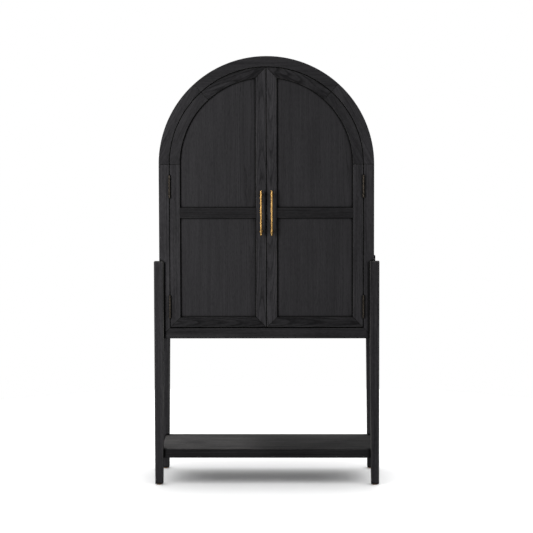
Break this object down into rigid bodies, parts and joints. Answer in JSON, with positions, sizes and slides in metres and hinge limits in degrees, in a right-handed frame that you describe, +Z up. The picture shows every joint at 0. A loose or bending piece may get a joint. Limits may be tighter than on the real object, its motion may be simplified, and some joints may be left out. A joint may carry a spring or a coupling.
{
  "type": "apothecary cabinet",
  "caption": "Tall arched-top storage cabinet with hinged framed doors, slim brass bar pulls and a tapered-leg stand with a low open shelf.",
  "frame": {"origin": "on the floor, under the middle of the whole object, handles included", "axes": "+Z up, the doors face -Y, +X to the right of someone facing the doors"},
  "size_m": [1.118, 0.463, 2.132],
  "materials": {
    "charcoal_oak": "open-grained oak, stained charcoal black, matt lacquer, pores showing, edges lightly worn",
    "handle_brass": "brushed brass, satin",
    "hinge_brass": "darkened brass, dull",
    "catch_steel": "black coated steel",
    "glide_felt": "tan felt pad"
  },
  "bodies": {
    "cabinet": {"arch_shell": "charcoal_oak", "back_panel": "charcoal_oak", "case_floor": "charcoal_oak", "case_side_left": "charcoal_oak", "case_side_right": "charcoal_oak", "catch_block": "catch_steel", "face_arch_crown": "charcoal_oak", "face_arch_left": "charcoal_oak", "face_arch_right": "charcoal_oak", "face_bottom_rail": "charcoal_oak", "face_stile_left": "charcoal_oak", "face_stile_right": "charcoal_oak", "glide_back_left": "glide_felt", "glide_back_right": "glide_felt", "glide_front_left": "glide_felt", "glide_front_right": "glide_felt", "hinge_left_lower_case_leaf": "hinge_brass", "hinge_left_lower_pin": "hinge_brass", "hinge_left_upper_case_leaf": "hinge_brass", "hinge_left_upper_pin": "hinge_brass", "hinge_right_lower_case_leaf": "hinge_brass", "hinge_right_lower_pin": "hinge_brass", "hinge_right_upper_case_leaf": "hinge_brass", "hinge_right_upper_pin": "hinge_brass", "leg_back_left": "charcoal_oak", "leg_back_right": "charcoal_oak", "leg_front_left": "charcoal_oak", "leg_front_right": "charcoal_oak", "shelf_1": "charcoal_oak", "shelf_2": "charcoal_oak", "shelf_3": "charcoal_oak", "stand_shelf": "charcoal_oak"},
    "left_door": {"door_left_arch_rail_lower": "charcoal_oak", "door_left_arch_rail_upper": "charcoal_oak", "door_left_bottom_rail": "charcoal_oak", "door_left_hinge_stile": "charcoal_oak", "door_left_lower_panel": "charcoal_oak", "door_left_meeting_stile": "charcoal_oak", "door_left_mid_rail": "charcoal_oak", "door_left_strike": "catch_steel", "door_left_upper_panel": "charcoal_oak", "handle_left_bar": "handle_brass", "handle_left_post_lower": "handle_brass", "handle_left_post_upper": "handle_brass", "hinge_left_lower_door_leaf": "hinge_brass", "hinge_left_upper_door_leaf": "hinge_brass"},
    "right_door": {"door_right_arch_rail_lower": "charcoal_oak", "door_right_arch_rail_upper": "charcoal_oak", "door_right_bottom_rail": "charcoal_oak", "door_right_hinge_stile": "charcoal_oak", "door_right_lower_panel": "charcoal_oak", "door_right_meeting_stile": "charcoal_oak", "door_right_mid_rail": "charcoal_oak", "door_right_strike": "catch_steel", "door_right_upper_panel": "charcoal_oak", "handle_right_bar": "handle_brass", "handle_right_post_lower": "handle_brass", "handle_right_post_upper": "handle_brass", "hinge_right_lower_door_leaf": "hinge_brass", "hinge_right_upper_door_leaf": "hinge_brass"}
  },
  "joints": [
    {"name": "left_door_hinge", "type": "hinge", "parent": "cabinet", "child": "left_door", "pos_m": [-0.48, -0.2081, 1.2], "axis": [0, 0, -1], "range_deg": [0, 150]},
    {"name": "right_door_hinge", "type": "hinge", "parent": "cabinet", "child": "right_door", "pos_m": [0.48, -0.2081, 1.2], "axis": [0, 0, 1], "range_deg": [0, 150]}
  ]
}
